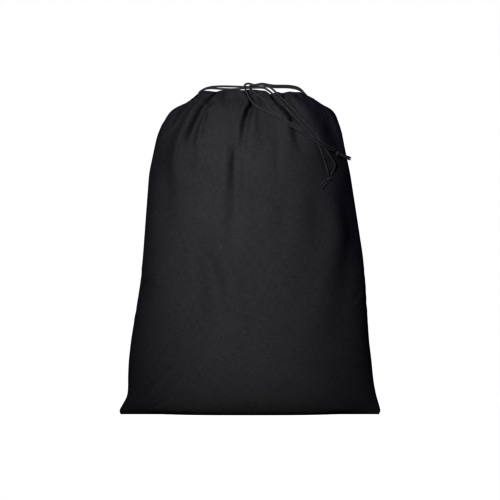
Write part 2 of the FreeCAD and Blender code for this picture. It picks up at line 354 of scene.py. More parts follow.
def smooth_through(stations, wanted):
    """A smooth curve through stations of equal rank, as Catmull-Rom splines, at places from 0 to 1."""
    along = distances_along(stations)
    along /= along[-1]
    slopes = np.gradient(stations, along, axis=0)
    place = np.clip(np.searchsorted(along, wanted, side="right") - 1, 0, len(along) - 2)
    gap = along[place + 1] - along[place]
    share = ((wanted - along[place]) / gap)[:, None]
    gap = gap[:, None]
    start, end = stations[place], stations[place + 1]
    return (
        (2 * share**3 - 3 * share**2 + 1) * start
        + (share**3 - 2 * share**2 + share) * gap * slopes[place]
        + (3 * share**2 - 2 * share**3) * end
        + (share**3 - share**2) * gap * slopes[place + 1]
    )


def ease(low, high, value):
    """0 below low, 1 above high and smooth between."""
    share = np.clip((value - low) / (high - low), 0, 1)
    return share * share * (3 - 2 * share)


# ---- the filled bag's form

# The side seam, as (half width, height), from the tip of a bottom corner to the channel.
SIDE_SEAM = MM * np.array([
    (242, 1), (245.5, 7), (243, 14), (239, 24), (234.5, 36), (231.5, 52), (230, 74), (227.5, 100),
    (223, 140), (212, 230), (203, 320), (194, 410), (183, 480), (173, 525), (163, 550), (147, 570),
    (117, 593),
])
# The middle of a panel, as (half depth, height), from the bottom seam to the channel.
MIDDLE = MM * np.array([
    (0, 0.5), (22, 0), (36, 2), (45, 8), (54, 20), (63, 38), (71, 60), (86, 140), (98, 230), (108, 320),
    (110, 410), (107, 480), (99, 525), (90, 550), (78, 570), (54, 593),
])
HEM_HALF_WIDTH = 97 * MM
HEM_HALF_DEPTH = 36 * MM
HEM_HEIGHT = 607 * MM
COLUMNS = 100
ROWS = 120
ROUNDNESS = 0.5  # half depth to half width, as the columns are spaced


def column_turns(count):
    """Turns about the upright axis, from seam to seam, evenly spaced along the cloth."""
    turn = np.linspace(-math.pi / 2, math.pi / 2, 2001)
    pace = np.hypot(np.cos(turn), ROUNDNESS * np.sin(turn))
    along = np.concatenate([[0], np.cumsum((pace[1:] + pace[:-1]) / 2)])
    return np.interp(np.linspace(0, 1, count), along / along[-1], turn)


def panel_grid(face):
    """Places of one panel's grid points, as an array of rows by columns by 3."""
    share = np.linspace(0, 1, ROWS + 1)
    side = smooth_through(SIDE_SEAM, share)
    middle = smooth_through(MIDDLE, share)
    turn = column_turns(COLUMNS + 1)
    sine, cosine = np.sin(turn)[None, :], np.cos(turn)[None, :]
    to_side = np.abs(sine) ** 4
    x = side[:, :1] * sine
    y = face * middle[:, :1] * cosine
    z = side[:, 1:] * to_side + middle[:, 1:] * (1 - to_side)
    return np.stack([x, y, z], axis=2)


def grid_normals(grid):
    """Unit normals of a grid, outwards on the front panel and inwards on the back one."""
    normals = np.cross(np.gradient(grid, axis=1), np.gradient(grid, axis=0))
    size = np.linalg.norm(normals, axis=2, keepdims=True)
    return normals / np.maximum(size, 1e-12)


# The folds of the front panel: where the valley runs, as (x, height) from the hem down, with how
# deep and how wide it is at the hem, all in millimetres.
FRONT_FOLDS = [
    ([(-88, 575), (-93.8, 563), (-102, 545), (-110.8, 522.5), (-117, 500)], 13, 4.5),
    ([(-62, 603), (-71, 593), (-80.5, 583), (-90, 571)], 12, 4.5),
    (
        [(-100, 606), (-113, 590), (-124, 571.5), (-136, 549), (-148.5, 525), (-160, 480), (-166, 430)],
        13, 7,
    ),
    ([(-40, 612), (-44, 594), (-50, 575)], 2.6, 5),
    (
        [(-13, 612), (-4.5, 604), (2, 594), (5, 583), (-3, 570), (-10, 550), (-12.5, 520), (-13, 470)],
        9, 4.2,
    ),
    ([(6, 590), (0, 572), (-3.5, 550), (-3, 500)], 4.5, 4.5),
    ([(15, 612), (16, 596), (18, 580)], 2.4, 4.5),
    ([(36, 612), (43, 600), (53, 589), (70, 572.5), (89, 556), (115, 537)], 19, 6),
    ([(57, 612), (62, 603), (70.5, 587), (79, 578), (88, 566)], 13, 5),
    ([(78, 610), (90, 594), (112, 577)], 4.5, 4.5),
    ([(98, 606), (108, 596), (118, 586)], 3, 5),
    ([(78, 546), (85, 534), (90, 522), (99, 512)], 4, 7),
]
# Long soft folds, which start below the hem.
SOFT_FOLDS = [
    ([(112, 600), (130, 581), (145, 565), (157, 545), (166, 522), (172, 496), (178, 450)], 11, 14),
    ([(-22, 590), (-26.5, 510), (-27, 450), (-28, 390), (-34, 290)], 9, 7),
    ([(-80, 360), (-84.6, 310), (-66, 241), (-62, 169), (-70, 110)], 9, 12),
    ([(176, 500), (184, 400), (196, 338), (188, 282), (178.6, 216), (173, 120)], 8, 13),
    ([(50, 470), (65, 380), (70, 300)], 2.5, 14),
    ([(-150, 470), (-162, 400), (-164, 320)], 4, 12),
    ([(115, 440), (130, 350), (126, 270)], 3, 13),
    ([(-133, 576), (-156, 545), (-172, 510), (-180, 470), (-184, 420)], 10, 11),
]
BACK_NARROWING = 0.96  # how far out the back panel's folds lie, against the front's


def mirrored(folds, shift, depth):
    """Folds for the back panel: the front's, seen in a mirror and moved along."""
    return [
        ([(shift - x * BACK_NARROWING, z) for x, z in route], size * depth, width)
        for route, size, width in folds
    ]


HEM_FOLDS = {FRONT: FRONT_FOLDS, BACK: mirrored(FRONT_FOLDS, 6, 0.95)}
LONG_FOLDS = {FRONT: SOFT_FOLDS, BACK: mirrored(SOFT_FOLDS, -10, 1.0)}
FOLD_SPREAD = 1.1  # how much wider a fold is at its end
FOLD_FADE = 2.2  # how suddenly it ends
CREST_PLACE = 1.9  # how far beside the valley the crest is, in the fold's widths
CREST_HEIGHT = 0.42  # of the valley's depth
SOFT_GAIN = 1.3  # makes up for the soft folds' gradual start


def fold_relief(x, z, folds, soft=False):
    """How far folds move the cloth out (+) or in (-). Soft ones also begin gradually."""
    relief = np.zeros_like(x)
    for route, depth, width in folds:
        depth, width = depth * MM, width * MM
        route = np.array(route) * MM
        along = distances_along(route)
        nearest = np.full_like(x, 1e9)
        place = np.zeros_like(x)
        for start, end, before, step in zip(route, route[1:], along, np.diff(along)):
            run = (end - start) / step
            share = np.clip((x - start[0]) * run[0] + (z - start[1]) * run[1], 0, step)
            distance = np.hypot(x - start[0] - run[0] * share, z - start[1] - run[1] * share)
            closer = distance < nearest
            nearest = np.where(closer, distance, nearest)
            place = np.where(closer, (before + share) / along[-1], place)
        opening = width * (1 + FOLD_SPREAD * place)
        strength = depth * (1 - place**FOLD_FADE)
        if soft:
            strength = strength * ease(0, 0.5, place) * SOFT_GAIN
        valley = np.exp(-((nearest / opening) ** 2))
        crest = np.exp(-(((nearest - CREST_PLACE * opening) / opening) ** 2))
        relief += strength * (CREST_HEIGHT * crest - valley)
    return relief


RIPPLE = 0.35 * MM
CREASE_DEPTH = 0.65  # of a fold's depth
CREASE_WIDTH = 0.75  # of a fold's width
CREASE_FADE = (4 * MM, 22 * MM)  # from the side seam, where no crease is yet and where it is full


def hem_ripple(turn, height):
    """Fine gathers along the channel, which die out a little way below it."""
    fading = ease(545 * MM, 600 * MM, height)
    wave = np.sin(41 * turn + 1.3 * np.sin(5 * turn)) + 0.6 * np.sin(67 * turn + 0.8 * np.sin(7 * turn) + 1)
    return RIPPLE * fading * wave


def cloth_relief(face, x, z, turn):
    """The relief of the folds that start at the hem, on a panel or on its channel, outwards."""
    return fold_relief(x, z, HEM_FOLDS[face]) + hem_ripple(turn, z)


def soft_relief(face, grid, turn):
    """The relief of the long folds, which is added once the cloth has settled."""
    return fold_relief(grid[:, :, 0], grid[:, :, 2], LONG_FOLDS[face], soft=True) * seam_fade(turn)


def crease(face, points):
    """Presses the hem folds' sharp creases into finished points, straight towards the back."""
    x, z = points[:, 0], points[:, 2]
    sharp = [(route, CREASE_DEPTH * depth, CREASE_WIDTH * width) for route, depth, width in HEM_FOLDS[face]]
    inside = np.interp(z, SIDE_SEAM[:, 1], SIDE_SEAM[:, 0]) - np.abs(x)
    creased = points.copy()
    creased[:, 1] += face * fold_relief(x, z, sharp) * ease(*CREASE_FADE, inside)
    return creased


def crease_piece(piece, face):
    points = np.empty(len(piece.data.vertices) * 3)
    piece.data.vertices.foreach_get("co", points)
    piece.data.vertices.foreach_set("co", crease(face, points.reshape(-1, 3)).ravel())
    piece.data.update()


def seam_fade(turn):
    """0 at the side seams, where no fold reaches across, and 1 a little way in from them."""
    return ease(0, math.radians(14), math.pi / 2 - np.abs(turn))


# ---- simulating the cloth

SIM_FRAMES = 22
SIM_REACH = 13 * MM  # the most that the simulation may move the cloth
EXTRA_WIDTH = 0.012  # how much wider than its place the cut cloth is, in the bag's lower part
EXTRA_HEM = 0.16  # the same at the channel, where it is gathered
EXTRA_LENGTH = 0.006  # how much longer than its place the cloth is in the middle
EXTRA_SIDE = 0.045  # how much longer still at the side seams
BOTTOM_ROWS_HELD = 12
CLOTH_SETTINGS = dict(
    quality=7, mass=0.15, air_damping=4, tension_damping=12, compression_damping=12, tension_stiffness=18,
    compression_stiffness=18, shear_stiffness=6, bending_stiffness=0.35, pin_stiffness=1,
    vertex_group_mass="held", use_pressure=True, uniform_pressure_force=3.2,
)


def closed_cloth(front, back):
    """Both panels as one mesh that shares its seams: points, faces and each grid's vertex numbers."""
    rows, columns = front.shape[:2]
    front_index = np.arange(rows * columns).reshape(rows, columns)
    back_index = np.full((rows, columns), -1)
    back_index[0] = front_index[0]
    back_index[:, 0] = front_index[:, 0]
    back_index[:, -1] = front_index[:, -1]
    own = back_index < 0
    back_index[own] = rows * columns + np.arange(own.sum())
    points = np.concatenate([front.reshape(-1, 3), back[own]])
    pairs = zip(grid_faces(front_index), grid_faces(back_index, flip=True))
    return points, [face for pair in pairs for face in pair], front_index, back_index


def cut_cloth(grid):
    """The panel's flat cut: each grid point's place on the table, from its distances in the grid."""
    across = np.linalg.norm(np.diff(grid, axis=1), axis=2)
    width = np.concatenate([np.zeros((len(grid), 1)), np.cumsum(across, axis=1)], axis=1)
    width -= width[:, -1:] / 2
    up = np.linalg.norm(np.diff(grid, axis=0), axis=2)
    height = np.concatenate([np.zeros((1, grid.shape[1])), np.cumsum(up, axis=0)], axis=0)
    rows = np.linspace(0, 1, grid.shape[0])[:, None]
    columns = np.linspace(-1, 1, grid.shape[1])[None, :]
    wider = 1 + EXTRA_WIDTH + (EXTRA_HEM - EXTRA_WIDTH) * ease(0.80, 1.0, rows)
    longer = 1 + EXTRA_LENGTH + EXTRA_SIDE * np.abs(columns) ** 3
    return np.stack([width * wider, height * longer], axis=2)


def simulate(points, faces, flat, pinned):
    """Lets the cloth settle under the filling's pressure, with some of its points held."""
    mesh = bpy.data.meshes.new("cloth")
    mesh.from_pydata([tuple(point) for point in points], [], faces)
    piece = bpy.data.objects.new("cloth", mesh)
    scene.collection.objects.link(piece)
    piece.shape_key_add(name="placed")
    cut = piece.shape_key_add(name="cut")
    cut.data.foreach_set("co", flat.ravel())
    group = piece.vertex_groups.new(name="held")
    for index, weight in enumerate(pinned):
        if weight > 0:
            group.add([index], float(weight), "REPLACE")
    cloth = piece.modifiers.new("cloth", "CLOTH")
    for setting, value in CLOTH_SETTINGS.items():
        setattr(cloth.settings, setting, value)
    cloth.settings.rest_shape_key = cut
    cloth.settings.effector_weights.gravity = 0
    cloth.collision_settings.use_collision = False
    cloth.collision_settings.use_self_collision = False
    cloth.point_cache.frame_start = 1
    cloth.point_cache.frame_end = SIM_FRAMES
    for number in range(1, SIM_FRAMES + 1):
        scene.frame_set(number)
    apply_modifiers(piece)
    settled = np.empty(len(points) * 3)
    piece.data.vertices.foreach_get("co", settled)
    bpy.data.objects.remove(piece)
    scene.frame_set(1)
    moved = settled.reshape(-1, 3) - points
    size = np.linalg.norm(moved, axis=1, keepdims=True)
    return points + moved * (SIM_REACH * np.tanh(size / SIM_REACH) / np.maximum(size, 1e-9))


# ---- fitting the settled cloth

# Where the outline lies at each height: (height, leftmost x, rightmost x).
OUTLINE = MM * np.array([
    (1, -242, 241), (7, -246, 245), (14, -243.5, 244), (28, -233.5, 240), (40, -229.5, 236.5),
    (70, -229, 231), (100, -228, 228.5), (140, -223.5, 223.5), (250, -205.5, 216.5), (300, -201, 212),
    (455, -189.5, 188), (525, -174.5, 173), (547, -165, 165), (570, -144.5, 152), (581, -129.5, 141),
    (588, -116.5, 128), (593, -110.5, 121.5),
])
OUTLINE_SMOOTHING = 9  # rows


def fit_outline(grids):
    """Scales the cloth sideways, so that the side seams lie on the outline."""
    kernel = np.hanning(OUTLINE_SMOOTHING)
    kernel /= kernel.sum()
    for side, column, target in ((-1, 0, OUTLINE[:, 1]), (1, -1, OUTLINE[:, 2])):
        seam = grids[FRONT][:, column]
        order = np.argsort(seam[:, 2])
        scale = np.interp(seam[order, 2], OUTLINE[:, 0], target) / seam[order, 0]
        scale = np.convolve(np.pad(scale, OUTLINE_SMOOTHING // 2, mode="edge"), kernel, mode="valid")
        for grid in grids.values():
            factor = np.interp(grid[:, :, 2], seam[order, 2], scale)
            this_side = grid[:, :, 0] * side > 0
            grid[:, :, 0] = np.where(this_side, grid[:, :, 0] * factor, grid[:, :, 0])


def lift_to_floor(grids):
    for grid in grids.values():
        grid[:, :, 2] = np.maximum(grid[:, :, 2], 0.6 * MM)


def tree_of(lines):
    """A tree of all the points of some lines, to find the near ones."""
    samples = np.concatenate(lines)
    tree = KDTree(len(samples))
    for index, sample in enumerate(samples):
        tree.insert(sample, index)
    tree.balance()
    return tree


CORD_SEARCH = 26 * MM
CONTACT_REACH = 11 * MM  # how far beside a cord the cloth follows it
CLOTH_TO_CORD = 0.5 * MM
RAISE_MOST = 1.5 * MM
SINK_MOST = 14 * MM


def follow_cords(grid, lines):
    """Presses the front panel's cloth in under the cords, and lifts it a little where they pass close."""
    normals = grid_normals(grid)
    tree = tree_of(lines)
    rows, columns = grid.shape[:2]
    moves = np.zeros((rows, columns))
    for row in range(rows // 2, rows):
        for column in range(columns):
            point, normal = grid[row, column], normals[row, column]
            total, weights = 0.0, 0.0
            for place, _, _ in tree.find_range(point, CORD_SEARCH):
                gap = np.array(place) - point
                height = gap.dot(normal)
                beside = math.sqrt(max(gap.dot(gap) - height * height, 0))
                if beside > CONTACT_REACH:
                    continue
                weight = math.exp(-((beside / (0.4 * CONTACT_REACH)) ** 2))
                total += weight * (height - CORD / 2 - CLOTH_TO_CORD)
                weights += weight
            if weights:
                nearby = min(1.0, weights / 3)
                moves[row, column] = nearby * min(max(total / weights, -SINK_MOST), RAISE_MOST)
    return grid + normals * moves[:, :, None]


def clear_cords(piece, lines):
    """Presses the finished cloth in by what little still touches a cord."""
    tree = tree_of(lines)
    need = CORD / 2 + 0.35 * MM
    mesh = piece.data
    for _ in range(2):
        for vertex in mesh.vertices:
            place, _, distance = tree.find(vertex.co)
            if distance < need:
                away = (vertex.co - place).normalized()
                inward = -vertex.normal if away.dot(vertex.normal) < 0.2 else away
                vertex.co += inward * (need - distance) * 0.9
        mesh.update()


# ---- materials


class Shading:
    """A material, with short ways to add nodes to it."""

    def __init__(self, name):
        self.material, self.nodes, self.links = new_material(name)
        self.shader = self.nodes["Principled BSDF"]

    def add(self, kind, source=None, socket=0, **values):
        """A new node, with attributes and inputs of those names set and a source linked to a socket."""
        node = self.nodes.new(kind)
        for name, value in values.items():
            if name in node.inputs:
                node.inputs[name].default_value = value
            else:
                setattr(node, name, value)
        if source is not None:
            self.links.new(source, node.inputs[socket])
        return node

    def math(self, operation, *values):
        """The result of a Math node, from numbers and from other nodes' outputs."""
        node = self.add("ShaderNodeMath", operation=operation)
        for socket, value in zip(node.inputs, values):
            if isinstance(value, (int, float)):
                socket.default_value = value
            else:
                self.links.new(value, socket)
        return node.outputs[0]

    def noise(self, place, scale, detail, roughness=0.5):
        values = {"Scale": scale, "Detail": detail, "Roughness": roughness}
        return self.add("ShaderNodeTexNoise", place, "Vector", **values).outputs["Fac"]

    def slub(self, place, scale, detail=3.0):
        """Uneven yarn: noise drawn out along one direction of the weave."""
        mapping = self.add("ShaderNodeMapping", place, "Vector", Scale=scale)
        return self.noise(mapping.outputs[0], 1.0, detail, 0.6)

    def map_range(self, value, taken, given):
        """A value that runs over one range, brought to another."""
        node = self.add("ShaderNodeMapRange", value, "Value")
        set_inputs(node, dict(zip(("From Min", "From Max", "To Min", "To Max"), (*taken, *given))))
        return node.outputs[0]

    def colour(self, colour, share):
        """Gives the material its colour, times a share that varies from place to place."""
        mix = self.add("ShaderNodeMix", data_type="RGBA", blend_type="MULTIPLY")
        set_inputs(mix, {"Factor": 1.0, "A": (*colour, 1)})
        self.links.new(share, mix.inputs["B"])
        self.links.new(mix.outputs["Result"], self.shader.inputs["Base Color"])

    def bump(self, height, strength, distance):
        bump = self.add("ShaderNodeBump", height, "Height", Strength=strength, Distance=distance)
        self.links.new(bump.outputs[0], self.shader.inputs["Normal"])


THREAD_PITCH = 0.62 * MM
WAVES_PER_METRE = 10 / math.pi  # of a Wave Texture at scale 1
COTTON = (0.0305, 0.0305, 0.0335)


def cotton_material():
    """Matte black plain-woven cotton with uneven yarn, laid out on the cloth's own flat cut."""
    cotton = Shading("black_cotton")
    flat = cotton.add("ShaderNodeUVMap", uv_map="cut").outputs[0]
    warp = cotton.slub(flat, (900, 70, 1))
    weft = cotton.slub(flat, (70, 900, 1))
    cloud = cotton.slub(flat, (9, 9, 1), 2.0)
    yarn = cotton.math("ADD", warp, weft)
    yarn_share = cotton.map_range(yarn, (0.72, 1.28), (0.75, 1.25))
    cloud_share = cotton.math("MULTIPLY_ADD", cloud, 0.24, 0.88)
    cotton.colour(COTTON, cotton.math("MULTIPLY", yarn_share, cloud_share))
    threads = []
    for direction in ("X", "Y"):
        wave = cotton.add("ShaderNodeTexWave", flat, "Vector", bands_direction=direction, wave_profile="SIN")
        set_inputs(wave, {"Scale": 1 / THREAD_PITCH / WAVES_PER_METRE})
        threads.append(wave.outputs["Fac"])
    weave = cotton.math("MAXIMUM", *threads)
    cotton.bump(cotton.math("ADD", cotton.math("MULTIPLY", weave, 0.5), yarn), 0.35, 0.35 * MM)
    roughness = cotton.math("MULTIPLY_ADD", yarn, -0.08, 0.96)
    cotton.links.new(roughness, cotton.shader.inputs["Roughness"])
    set_inputs(cotton.shader, {"Specular IOR Level": 0, "Sheen Weight": 0.02})
    set_inputs(cotton.shader, {"Sheen Roughness": 0.5, "Sheen Tint": (0.55, 0.6, 0.9, 1)})
    return cotton.material


def yarn_material(name, colour, sheen):
    """Spun yarn: fine fibres along the surface, for cords and sewing thread."""
    spun = Shading(name)
    place = spun.add("ShaderNodeTexCoord").outputs["Object"]
    both = spun.math("ADD", spun.noise(place, 2600.0, 3.0, 0.7), spun.noise(place, 180.0, 2.0))
    spun.colour(colour, spun.map_range(both, (0.7, 1.3), (0.65, 1.4)))
    spun.bump(both, 0.4, 0.12 * MM)
    set_inputs(spun.shader, {"Roughness": 0.85, "Specular IOR Level": 0.25})
    set_inputs(spun.shader, {"Sheen Roughness": 0.45, "Sheen Weight": sheen})
    return spun.material


# ---- the bag's cloth pieces

CLOTH_THICKNESS = 0.55 * MM


def add_cut_map(piece, places):
    """Gives each corner of the mesh its place on the flat cut, in metres."""
    layer = piece.data.uv_layers.new(name="cut")
    corners = np.empty(len(piece.data.loops), int)
    piece.data.loops.foreach_get("vertex_index", corners)
    layer.data.foreach_set("uv", places[corners].astype(float).ravel())


def cloth_from_grid(name, grid, flat, material, outward_is_normal, subdivide=1):
    """A sheet of cloth from a grid of points, divided further if asked, and not yet thick."""
    index = np.arange(grid[:, :, 0].size).reshape(grid.shape[:2])
    piece = make_piece(name, grid.reshape(-1, 3), grid_faces(index, not outward_is_normal), material)
    add_cut_map(piece, flat.reshape(-1, 2))
    if subdivide:
        finer = piece.modifiers.new("finer", "SUBSURF")
        finer.levels = finer.render_levels = subdivide
        finer.boundary_smooth = "PRESERVE_CORNERS"
        apply_modifiers(piece)
    return piece


def thicken(piece, thickness=CLOTH_THICKNESS, offset=-1):
    solid = piece.modifiers.new("thickness", "SOLIDIFY")
    solid.thickness = thickness
    solid.offset = offset
    apply_modifiers(piece)
    return piece


def seam_pull(distance, along, groove, pucker, wave):
    """How one seam pulls the cloth, in millimetres: a shallow groove, and puckers on both sides of it.

    groove and pucker are (depth, reach); wave is the puckers' (pace, sway, pace of the sway).
    """
    ripple = np.sin(along / wave[0] + wave[1] * np.sin(along / wave[2]))
    dent = groove[0] * np.exp(-((distance / groove[1]) ** 2))
    return pucker[0] * ripple * np.exp(-((distance / pucker[1]) ** 2)) * ease(0, 2, distance) - dent


def seam_relief(flat):
    """The pull of the side and bottom seams on a panel."""
    across, up = flat[:, :, 0] / MM, flat[:, :, 1] / MM
    relief = seam_pull(up, across, (0.8, 2.0), (0.4, 7), (2.9, 1.2, 21))
    for seam in (across[:, :1], across[:, -1:]):
        relief += seam_pull(np.abs(across - seam), up, (1.3, 2.2), (0.55, 8), (2.7, 1.4, 17))
    return relief * MM


# Across a channel, from its foot over the top fold and down inside: (up the slant, outwards).
CHANNEL_PROFILE = MM * np.array([
    (-1.3, 0.15), (0.5, 0.2), (2, 0.3), (5, 0.6), (9, 0.9), (13.5, 0.9), (18, 0.55), (21.5, -0.1),
    (23.6, -1.1), (24.4, -2.5), (23.7, -3.9), (21.5, -4.8), (17, -5.3), (12, -5), (7.5, -4.1), (4, -2.7),
    (1.5, -1.5), (-1, -1.1), (-4, -1.2),
])
CHANNEL_SLANT = 24.4 * MM
SLIT_TURN = math.radians(84)  # from the middle of a panel to where a side slit begins
CHANNEL_CUT_FOOT = 0.675  # how far up the flat cut the channel begins
CHANNEL_CUT_WIDTH = 0.5
# How much higher or lower than HEM_HEIGHT the hem is drawn up, at places from the left to the right.
HEM_LINE = MM * np.array([
    (-100, 0), (-90, 3.4), (-78, 2.2), (-67, 0.4), (-60, 1.8), (-47, 4.8), (-23, 4.4), (-15, 3),
    (0, 4.8), (12, 4), (28, 1.6), (37.5, -3.6), (49, 0), (55, -1.6), (62, -1.2), (72, 1), (84, 0.4),
    (93, 0.4), (100, -1.8), (108, -4),
])


class Channel:
    """One panel's channel: the cloth above the stitches, which goes on from the panel's top row."""

    def __init__(self, face, top_row):
        self.face = face
        self.turns = column_turns(len(top_row))
        self.foot = np.array([SIDE_SEAM[-1][0], MIDDLE[-1][0], SIDE_SEAM[-1][1]])
        self.hem = np.array([HEM_HALF_WIDTH, HEM_HALF_DEPTH, HEM_HEIGHT])
        self.shift = np.zeros_like(top_row)
        self.shift = top_row - self.uncreased(self.turns, np.zeros(len(top_row)), 0)

    def ruled(self, turn, up):
        """Points on the straight slant from the channel's foot to its hem."""
        size = self.foot + (self.hem - self.foot) * (up / CHANNEL_SLANT)[:, None]
        return np.column_stack([size[:, 0] * np.sin(turn), self.face * size[:, 1] * np.cos(turn), size[:, 2]])

    def place(self, turn, up, out):
        """Points at turns about the upright axis, up the slant from the stitches and outwards."""
        return crease(self.face, self.uncreased(turn, up, out))

    def uncreased(self, turn, up, out):
        """The same points, without the folds' sharp creases."""
        base = self.ruled(turn, up)
        tiny = 1e-4
        along = self.ruled(turn + tiny, up) - self.ruled(turn - tiny, up)
        upward = self.ruled(turn, up + tiny) - self.ruled(turn, up - tiny)
        normal = np.cross(along, upward) * -self.face
        normal /= np.linalg.norm(normal, axis=1, keepdims=True)
        relief = cloth_relief(self.face, base[:, 0], base[:, 2], turn) * seam_fade(turn)
        share = up / CHANNEL_SLANT
        relief *= 1 - 0.35 * ease(0, 1, share)
        steady = 1 - ease(0.15, 0.9, share)
        base[:, 2] += np.interp(base[:, 0], HEM_LINE[:, 0], HEM_LINE[:, 1]) * ease(0.1, 1.0, share)
        shift = np.column_stack([np.interp(turn, self.turns, self.shift[:, axis]) for axis in range(3)])
        shift *= 1 - 0.6 * ease(0.2, 1.2, share)[:, None]
        shift[:, 2] *= steady
        level = normal * np.column_stack([np.ones(len(turn)), np.ones(len(turn)), steady])
        return base + shift + normal * out + level * relief[:, None]


def make_channel(channel, name, material):
    profile = smooth_through(CHANNEL_PROFILE, np.linspace(0, 1, 44))
    turns = np.linspace(-SLIT_TURN, SLIT_TURN, 190)
    across = turns / math.pi * CHANNEL_CUT_WIDTH
    rows = []
    flat = []
    for (up, out), distance in zip(profile, distances_along(profile)):
        rows.append(channel.place(turns, np.full_like(turns, up), out))
        flat.append(np.column_stack([across, np.full_like(turns, CHANNEL_CUT_FOOT + distance)]))
    piece = cloth_from_grid(name, np.array(rows), np.array(flat), material, channel.face == FRONT, 0)
    return thicken(piece, 0.5 * MM)


RING_POINTS = 160  # on each panel's side
RING_DEPTH = 2.2 * MM  # of the cord's middle, inwards from the channel's slant
RING_GAP = 9 * MM  # from the side seam, where the ring begins and ends
RING_HEIGHTS = {"left": 17.5 * MM, "right": 6.8 * MM}  # up the slant
RING_RADIUS = 0.96 * CORD / 2


def make_ring_cord(side, channels, material):
    """The hidden part of a cord, right round inside both channels but for its exit."""
    turns = np.linspace(-math.pi / 2, math.pi / 2, RING_POINTS)
    up = np.full(RING_POINTS, RING_HEIGHTS[side])
    front = channels[FRONT].place(turns, up, -RING_DEPTH)
    back = channels[BACK].place(turns[::-1], up, -RING_DEPTH)
    loop = np.concatenate([front, back[1:-1]])
    outward = -loop[:, 0]
    if side == "right":
        loop = np.roll(loop, 1 - RING_POINTS, axis=0)
        outward = loop[:, 0]
    at_exit = (np.abs(loop[:, 1]) <= RING_GAP) & (outward > 0)
    ring = braided_tube(resample(loop[~at_exit], 1.2 * MM), RING_RADIUS, around=14)
    return make_piece(f"{side}_cord_ring", *ring, material)


STITCH_LENGTH = 2.2 * MM
STITCH_PITCH = 3 * MM
STITCH_STEP = 0.5 * MM


def make_stitches(channel, name, material):
    """The row of stitches that closes the channel, each a short bead of thread on the cloth."""
    turns = np.linspace(-SLIT_TURN, SLIT_TURN, 4000)
    line = channel.place(turns, np.full_like(turns, 1.5 * MM), 0.1 * MM)
    even = resample(line, STITCH_STEP)
    run = round(STITCH_LENGTH / STITCH_STEP)
    parts = []
    for start in range(0, len(even) - run, round(STITCH_PITCH / STITCH_STEP)):
        parts.append(plain_tube(even[start : start + run + 1], 0.22 * MM, end_round=1.5))
    return join_parts(name, parts, material)


TACK_HALF_LENGTH = 6 * MM
TACK_THREADS = 26


def make_bartack(side, foot, material):
    """A dense zigzag of thread across the foot of a slit, at the top of the side seam."""
    outwards = np.array([1 if side == "right" else -1, 0, 0])
    upwards = np.array([0, 0, 1])
    parts = []
    for number, y in enumerate(np.linspace(-TACK_HALF_LENGTH, TACK_HALF_LENGTH, TACK_THREADS)):
        lean = 0.25 * MM * (-1) ** number
        low = np.array([foot[0], y - lean, foot[2]]) - 0.6 * MM * outwards
        high = np.array([foot[0], y + lean, foot[2]]) - 3.1 * MM * outwards + 1.9 * MM * upwards
        middle = (low + high) / 2 + 0.3 * MM * (outwards + upwards)
        parts.append(plain_tube(np.array([low, middle, high]), 0.24 * MM))
    return join_parts(f"{side}_slit_thread", parts, material)


def inner_seam_line(grid, which):
    if which == "bottom":
        return grid[0, 2:-2]
    return grid[2:-1, 0 if which == "left" else -1]


ALLOWANCE_WIDTH = 7.5 * MM
ALLOWANCE_STEP = 4 * MM
ALLOWANCE_THICKNESS = 1.1 * MM
BAG_MIDDLE = (0, 0, 0.3)
OVERLOCK_STEP = 0.55 * MM
OVERLOCK_PITCH = 2.6 * MM
OVERLOCK_BITE = 1.3 * MM  # how far its loops go in and out over the rim
OVERLOCK_HALF_THICKNESS = 0.85 * MM


def make_allowance(which, grid, cloth, thread):
    """The raw edges of both panels inside a seam, and the overlock loops along their rim."""
    line = resample(inner_seam_line(grid, which), ALLOWANCE_STEP)
    ahead = np.gradient(line, axis=0)
    ahead[:, 1] = 0
    ahead /= np.linalg.norm(ahead, axis=1)[:, None]
    inward = np.column_stack([-ahead[:, 2], np.zeros(len(line)), ahead[:, 0]])
    if ((BAG_MIDDLE - line) * inward).sum() < 0:
        inward = -inward
    along = np.arange(len(line)) * ALLOWANCE_STEP
    sway = 0.8 * MM * np.sin(along / (13 * MM)) + 0.5 * MM * np.sin(along / (5 * MM))
    start = line + inward * 1.2 * MM
    reach = inward * ALLOWANCE_WIDTH
    reach[:, 1] += sway
    shares = np.linspace(0, 1, 5)
    places = np.array([start + reach * share for share in shares])
    flat = np.array([np.column_stack([along, np.full_like(along, ALLOWANCE_WIDTH * s)]) for s in shares])
    strip = cloth_from_grid(f"{which}_seam_allowance", places, flat, cloth, True, 0)
    thicken(strip, ALLOWANCE_THICKNESS, 0)
    rim = resample(places[-1], OVERLOCK_STEP)
    spots = np.linspace(0, 1, len(rim))
    stations = np.linspace(0, 1, len(line))
    inward = np.column_stack([np.interp(spots, stations, inward[:, axis]) for axis in range(3)])
    phase = 2 * math.pi * np.arange(len(rim)) * OVERLOCK_STEP / OVERLOCK_PITCH
    bite = 0.4 * MM - OVERLOCK_BITE * (0.5 - 0.5 * np.cos(phase))
    loops = rim + inward * bite[:, None]
    loops[:, 1] += OVERLOCK_HALF_THICKNESS * np.sin(phase)
    return strip, make_piece(f"{which}_seam_overlock", *plain_tube(loops, 0.22 * MM, 5), thread)


# ---- cords and knots

KNOT_SIZE = 3.2 * MM
KNOT_RADIUS = 0.92 * CORD / 2  # of the cord in it, drawn tight


